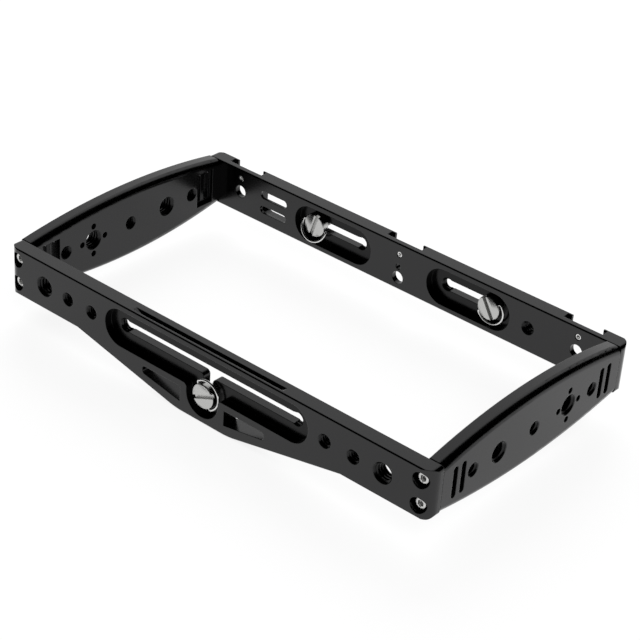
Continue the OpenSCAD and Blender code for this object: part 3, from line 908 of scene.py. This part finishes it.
# Middle planes of the rails
FRONT_MID = (FRONT_Y + FRONT_INNER_Y) / 2
REAR_MID = (REAR_INNER_Y + REAR_Y) / 2
SIDE_MID = (INNER_X + OUTER_X) / 2
RAIL_THICKNESS = OUTER_X - INNER_X
TO_FRONT = (0, -1, 0)

# Tapped holes: distance from the rail's middle, and whether the hole is large
FRONT_HOLES = ((99 * MM, True), (83.7 * MM, False), (68.5 * MM, False))
SIDE_HOLES = ((-42 * MM, False), (-24.5 * MM, True), (0, False), (24.5 * MM, True), (42 * MM, False))
REAR_HOLE_X = 74.6 * MM

# Screw slots: depth of the recess over them, distance of their tapped ends from the middle, half width
FRONT_RECESS = 3.8 * MM
REAR_RECESS = 4.1 * MM
FRONT_SLOT_END = 50.3 * MM
REAR_SLOT_END = 26.1 * MM
SLOT_HALF = 2.8 * MM

# Thumb screws: node, screw body, bail, middle of the head's seat, and direction and tilt of the bail
# in degrees
FRONT_SEAT = (0, FRONT_Y + FRONT_RECESS, -11.8 * MM)
REAR_LEFT_SEAT = (-53.0 * MM, REAR_INNER_Y + REAR_RECESS, 0)
REAR_RIGHT_SEAT = (52.0 * MM, REAR_INNER_Y + REAR_RECESS, 0)
SCREWS = (
    ("front_thumb_screw", "front_screw", "front_bail", FRONT_SEAT, 34, 2),
    ("rear_left_thumb_screw", "rear_left_screw", "rear_left_bail", REAR_LEFT_SEAT, -104, -18),
    ("rear_right_thumb_screw", "rear_right_screw", "rear_right_bail", REAR_RIGHT_SEAT, -56, 2),
)

# Corner and stop screws
CORNER_TIP = 0.25 * MM
CORNER_HEAD_FACETS = 96
CORNER_THREAD_FACETS = 40
STOP_FACETS = 72


def hole_places(rail):
    """The centre of each tapped hole of a rail, its axis and whether it is large."""
    if rail == "front_rail":
        return [((side * x, FRONT_MID, 0), TO_FRONT, large) for side in (-1, 1) for x, large in FRONT_HOLES]
    if rail == "rear_rail":
        return [((REAR_HOLE_X, REAR_MID, 0), TO_FRONT, False)]
    side = -1 if rail == "left_rail" else 1
    return [((side * SIDE_MID, y, 0), (side, 0, 0), large) for y, large in SIDE_HOLES]


def slot_ends(rail):
    """The centre of each slot's tapped end in a rail, its wall's length and the turn of its solid side."""
    if rail == "front_rail":
        wall = RAIL_THICKNESS - FRONT_RECESS
        y = FRONT_INNER_Y - wall / 2
        return [((FRONT_SLOT_END, y, 0), wall, 0.0), ((-FRONT_SLOT_END, y, 0), wall, math.pi)]
    if rail == "rear_rail":
        wall = RAIL_THICKNESS - REAR_RECESS
        y = REAR_Y - wall / 2
        return [((REAR_SLOT_END, y, 0), wall, math.pi), ((-REAR_SLOT_END, y, 0), wall, 0.0)]
    return []


def screw_head(name, origin, turn, thread_top):
    """A copy of a packed thumb screw, merged, without what lies below the top of its thread, as a bmesh."""
    work = bmesh.new()
    work.from_mesh(NODES[name].data)
    bmesh.ops.remove_doubles(work, verts=work.verts, dist=HEAD_WELD)
    local = (np.array([corner.co for corner in work.verts]) - origin) @ turn
    below = np.flatnonzero(local[:, 2] < thread_top + HEAD_WELD / 2)
    work.verts.ensure_lookup_table()
    bmesh.ops.delete(work, geom=[work.verts[k] for k in below], context="VERTS")
    bmesh.ops.dissolve_limit(work, angle_limit=FLAT_ANGLE, verts=work.verts, edges=work.edges)
    return work


def socket_screw(name, shape, centre, axis, steel):
    """A socket screw along an axis, in place of its node."""
    points, faces = shape
    piece = new_piece(closed_mesh(name + "_turned", placed(points, centre, axis), faces), steel)
    remember_turning(piece, centre, lying(axis))
    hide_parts(name)
    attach(piece, "cage")


# Stage

WHITE = (1, 1, 1, 1)
BLACK = (0, 0, 0, 1)
SKY_STRENGTH = 0.55
# Half the floor's side, and the gap under the cage
FLOOR_HALF = 8.0
FLOOR_GAP = 0.2 * MM
# Lamps that shine at the middle of the cage
KEY_PLACE = (-0.75, 0.95, 0.75)
KEY_SIZE = 1.1
FILL_PLACE = (0.9, -0.5, 1.2)
FILL_SIZE = 0.9
# The tent's opening is the angle from its axis to its rim, in degrees
TENT_AXIS = (-0.608, 0.709, 0.355)
TENT_RADIUS = 2.5
TENT_OPENING = 45
TENT_ROWS = 46
TENT_COLUMNS = 96
# In millimetres
SENSOR_WIDTH = 36


def seen_white(tree):
    """1 for a ray from the camera, or one that a glossy or clear surface sends on."""
    path = node(tree, "ShaderNodeLightPath").outputs
    seen = maths(tree, "MAXIMUM", path["Is Camera Ray"], path["Is Glossy Ray"])
    return maths(tree, "MAXIMUM", seen, path["Is Transmission Ray"])


def lay_floor(stage):
    """A square floor under the lowest point, whose material mixes white in for the rays that see it."""
    line = np.linspace(-FLOOR_HALF, FLOOR_HALF, 3)
    u, v = np.meshgrid(line, line, indexing="ij")
    points, faces = sheet_mesh(np.stack([u, v, np.full_like(u, CAD_LOW.z - FLOOR_GAP)], -1))
    floor = new_object("floor", plain_mesh("floor", points, faces[:, ::-1]))
    material, tree = new_material("Pale Floor")
    matt = node(tree, "ShaderNodeBsdfDiffuse", {"Color": (*stage.floor_colour, 1)})
    white = node(tree, "ShaderNodeEmission", {"Color": WHITE, "Strength": 1.0})
    share = maths(tree, "MULTIPLY", seen_white(tree), stage.floor_white)
    mixed = node(tree, "ShaderNodeMixShader", {0: share, 1: matt.outputs[0], 2: white.outputs[0]})
    node(tree, "ShaderNodeOutputMaterial", {"Surface": mixed.outputs[0]})
    dress(floor, material)


def spread_sky(scene):
    """A soft grey sky that is white for the rays that see it."""
    world = bpy.data.worlds.new("Soft Sky")
    tree = cleared(world)
    soft = node(tree, "ShaderNodeBackground", {"Color": WHITE, "Strength": SKY_STRENGTH})
    white = node(tree, "ShaderNodeBackground", {"Color": WHITE, "Strength": 1.0})
    mixed = node(tree, "ShaderNodeMixShader", {0: seen_white(tree), 1: soft.outputs[0], 2: white.outputs[0]})
    node(tree, "ShaderNodeOutputWorld", {"Surface": mixed.outputs[0]})
    scene.world = world


def hang_lamp(name, place, size, power):
    """A round soft lamp that shines at the middle of the cage, and that reflections don't show."""
    data = bpy.data.lights.new(name, "AREA")
    data.shape, data.size, data.energy = "DISK", size, power
    lamp = new_object(name, data)
    lamp.location = place
    lamp.rotation_mode = "QUATERNION"
    lamp.rotation_quaternion = Vector(place).to_track_quat("Z", "Y")
    lamp.visible_glossy = False


def pitch_tent():
    """A black tent that only reflections see: the upper half of a sphere without a cap round an axis.

    Its points lie at radius * (cos a * axis + sin a * (cos b * u + sin b * v)), with a from the opening
    to 180 degrees; the faces under the horizon are left out.
    """
    a = np.radians(np.linspace(TENT_OPENING, 180, TENT_ROWS))[:, None]
    b = FULL_TURN * np.arange(TENT_COLUMNS)[None, :] / TENT_COLUMNS
    sphere = np.stack([np.sin(a) * np.cos(b), np.sin(a) * np.sin(b), np.cos(a) + 0 * b], -1)
    points, faces = sheet_mesh(sphere, wrap_v=True)
    points = placed(points * TENT_RADIUS, (0, 0, 0), TENT_AXIS)
    faces = faces[points[faces][:, :, 2].mean(1) > 0]
    tent = new_object("tent", plain_mesh("tent", points, faces))
    material, tree = new_material("Black Tent")
    black = node(tree, "ShaderNodeEmission", {"Color": BLACK, "Strength": 0.0})
    node(tree, "ShaderNodeOutputMaterial", {"Surface": black.outputs[0]})
    dress(tent, material)
    tent.visible_camera = tent.visible_diffuse = tent.visible_shadow = tent.visible_transmission = False


def aim_camera(scene, stage):
    """The camera's axes come from its azimuth, elevation and roll: it looks along minus its own Z."""
    azimuth, elevation, roll = stage.azimuth, stage.elevation, stage.roll
    level = math.cos(elevation)
    back = Vector((math.sin(azimuth) * level, -math.cos(azimuth) * level, math.sin(elevation)))
    right = Vector((0, 0, 1)).cross(back).normalized()
    up = back.cross(right)
    rolled_right = math.cos(roll) * right + math.sin(roll) * up
    rolled_up = -math.sin(roll) * right + math.cos(roll) * up
    turn = Matrix((rolled_right, rolled_up, back)).transposed().to_4x4()
    data = bpy.data.cameras.new("camera")
    data.sensor_width, data.lens = SENSOR_WIDTH, stage.lens
    data.shift_x, data.shift_y = stage.shift_x, stage.shift_y
    data.clip_start, data.clip_end = 0.01, 50
    camera = new_object("camera", data)
    camera.matrix_world = Matrix.Translation(stage.camera_place) @ turn
    scene.camera = camera
    scene.view_settings.view_transform = "Standard"


# Operators


class CAGE_OT_rails(Operator):
    """Give the four rails their satin black anodising"""

    bl_idname = "cage.rails"
    bl_label = "Anodise the rails"

    def execute(self, context):
        finish = anodised(context.scene.cage_finish)
        for name in RAILS:
            dress(NODES[name], finish)
        return {"FINISHED"}


class CAGE_OT_hole_threads(Operator):
    """Cut the threads of the rails' tapped holes and slot ends"""

    bl_idname = "cage.hole_threads"
    bl_label = "Cut the hole threads"

    def execute(self, context):
        thread = context.scene.cage_threads
        finish = cut_thread(context.scene.cage_finish)
        small = (thread.small_radius, thread.small_pitch, thread.small_pitch * thread.depth_share)
        large = (thread.large_radius, thread.large_pitch, thread.large_pitch * thread.depth_share)
        half = math.pi - math.asin(SLOT_HALF / thread.small_radius)
        for rail in RAILS:
            parts = []
            for centre, axis, is_large in hole_places(rail):
                cut = large if is_large else small
                points, faces = tapped_hole(*cut, RAIL_THICKNESS, thread.mouth, thread.facets)
                parts.append((placed(points, centre, axis), faces))
            for centre, length, turn in slot_ends(rail):
                points, faces = tapped_hole(*small, length, thread.mouth, thread.facets, -half, 2 * half)
                parts.append((points @ facing_front(turn).T + centre, faces))
            piece = new_piece(closed_mesh(rail + "_threads", *joined(parts)), finish)
            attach(piece, "cage")
        return {"FINISHED"}


class CAGE_OT_thumb_screws(Operator):
    """Turn the thumb screws, with their coin slots and threads"""

    bl_idname = "cage.thumb_screws"
    bl_label = "Turn the thumb screws"

    def execute(self, context):
        scene = context.scene
        size, thread, look = scene.cage_screws, scene.cage_threads, scene.cage_finish
        steel = turned_steel(look, "Turned Steel", look.steel_colour, (0.24, 0.32), 1e-6)
        depth = thread.small_pitch * thread.depth_share
        cut = (thread.small_radius, thread.small_pitch, depth)
        neck = size.shank_radius - thread.small_radius + depth
        for name, body, _, seat, angle, _ in SCREWS:
            turn = facing_front(math.radians(angle))
            origin = np.array(seat) - (0, size.head_thickness, 0)
            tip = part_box(name)[1].y
            low, high = origin[1] - tip, origin[1] - (tip - size.thread_length)
            points, faces = threaded_rod(*cut, low, high, size.tip_chamfer, neck, thread.facets)
            rod = closed_mesh(name + "_thread", points @ turn.T + origin, faces)
            work = screw_head(name, origin, turn, high)
            work.from_mesh(rod)
            mesh = bpy.data.meshes.new(name + "_turned")
            work.to_mesh(mesh)
            work.free()
            bpy.data.meshes.remove(rod)
            piece = new_piece(mesh, steel)
            remember_turning(piece, origin, turn)
            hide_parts(name)
            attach(piece, body)
        return {"FINISHED"}


class CAGE_OT_bails(Operator):
    """Bend the wire bails and hang them in the thumb screws"""

    bl_idname = "cage.bails"
    bl_label = "Bend the bails"

    def execute(self, context):
        size = context.scene.cage_screws
        finish = drawn_wire(context.scene.cage_finish)
        points, faces = wire_tube(bail_path(size), size.wire_radius)
        for _, _, name, seat, angle, tilt in SCREWS:
            origin = np.array(seat) - (0, size.head_thickness, 0)
            lean = np.array(Matrix.Rotation(math.radians(tilt), 3, "Y"))
            hung = points @ lean.T - (0, 0, size.hinge_drop)
            turned = hung @ facing_front(math.radians(angle)).T + origin
            piece = new_piece(closed_mesh(name + "_wire", turned, faces), finish)
            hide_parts(name)
            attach(piece, name)
        return {"FINISHED"}


class CAGE_OT_corner_screws(Operator):
    """Make the socket-head screws that hold the corners"""

    bl_idname = "cage.corner_screws"
    bl_label = "Make the corner screws"

    def execute(self, context):
        scene = context.scene
        size, thread, look = scene.cage_screws, scene.cage_threads, scene.cage_finish
        steel = turned_steel(look, "Corner Screw Steel", look.cap_colour, (0.2, 0.32), 2e-6)
        width, drop = size.socket_width, size.socket_depth
        profile = socket_profile(size.cap_radius, size.cap_height, size.cap_edge, width, drop)
        head = lathe(profile, CORNER_HEAD_FACETS, width)
        depth = thread.corner_pitch * thread.depth_share
        cut = (thread.corner_radius, thread.corner_pitch, depth)
        bottom, top = -size.cap_height - size.corner_length, -size.cap_height
        rod = threaded_rod(*cut, bottom, top, CORNER_TIP, depth, CORNER_THREAD_FACETS)
        shape = joined([head, rod])
        for name in sorted(name for name in NODES if name.endswith(("_upper_screw", "_lower_screw"))):
            low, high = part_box(name)
            out, face = (-1.0, low.y) if name.startswith("front") else (1.0, high.y)
            centre = ((low.x + high.x) / 2, face, (low.z + high.z) / 2)
            socket_screw(name, shape, centre, (0, out, 0), steel)
        return {"FINISHED"}


class CAGE_OT_stop_screws(Operator):
    """Make the small socket screws in the channels' webs"""

    bl_idname = "cage.stop_screws"
    bl_label = "Make the stop screws"

    def execute(self, context):
        size, look = context.scene.cage_screws, context.scene.cage_finish
        steel = turned_steel(look, "Stop Screw Steel", look.stop_colour, (0.2, 0.32), 2e-6)
        width, drop = size.stop_socket_width, size.stop_socket_depth
        for name in sorted(name for name in NODES if name.endswith("_stop_screw")):
            low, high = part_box(name)
            centre = ((low.x + high.x) / 2, low.y, (low.z + high.z) / 2)
            profile = socket_profile((high.x - low.x) / 2, high.y - low.y, size.stop_edge, width, drop)
            socket_screw(name, lathe(profile, STOP_FACETS, width), centre, TO_FRONT, steel)
        return {"FINISHED"}


class CAGE_OT_stage(Operator):
    """Lay the pale floor, set the soft lamps and aim the camera"""

    bl_idname = "cage.stage"
    bl_label = "Light and frame the cage"

    def execute(self, context):
        stage = context.scene.cage_stage
        lay_floor(stage)
        spread_sky(context.scene)
        hang_lamp("key_lamp", KEY_PLACE, KEY_SIZE, stage.key_power)
        hang_lamp("fill_lamp", FILL_PLACE, FILL_SIZE, stage.fill_power)
        pitch_tent()
        aim_camera(context.scene, stage)
        return {"FINISHED"}


class CAGE_PT_looks(Panel):
    """The steps of the cage's looks, in order"""

    bl_idname = "CAGE_PT_looks"
    bl_label = "Accessory Cage"
    bl_space_type = "VIEW_3D"
    bl_region_type = "UI"
    bl_category = "Cage"

    def draw(self, context):
        for step in STEPS:
            self.layout.operator(step.bl_idname)


STEPS = (
    CAGE_OT_rails,
    CAGE_OT_hole_threads,
    CAGE_OT_thumb_screws,
    CAGE_OT_bails,
    CAGE_OT_corner_screws,
    CAGE_OT_stop_screws,
    CAGE_OT_stage,
)
SETTINGS = (
    ("cage_finish", CageFinish),
    ("cage_threads", CageThreads),
    ("cage_screws", CageScrews),
    ("cage_stage", CageStage),
)


def register():
    """Registers the classes, and hangs each group of settings on the scene."""
    for name, kind in SETTINGS:
        bpy.utils.register_class(kind)
        setattr(bpy.types.Scene, name, PointerProperty(type=kind))
    for kind in (*STEPS, CAGE_PT_looks):
        bpy.utils.register_class(kind)


def unregister():
    """Takes away what register adds, in reverse order."""
    for kind in (CAGE_PT_looks, *reversed(STEPS)):
        bpy.utils.unregister_class(kind)
    for name, kind in reversed(SETTINGS):
        delattr(bpy.types.Scene, name)
        bpy.utils.unregister_class(kind)


def main():
    """Runs every step in order."""
    register()
    for step in STEPS:
        family, verb = step.bl_idname.split(".")
        getattr(getattr(bpy.ops, family), verb)()


if __name__ == "__main__":
    main()
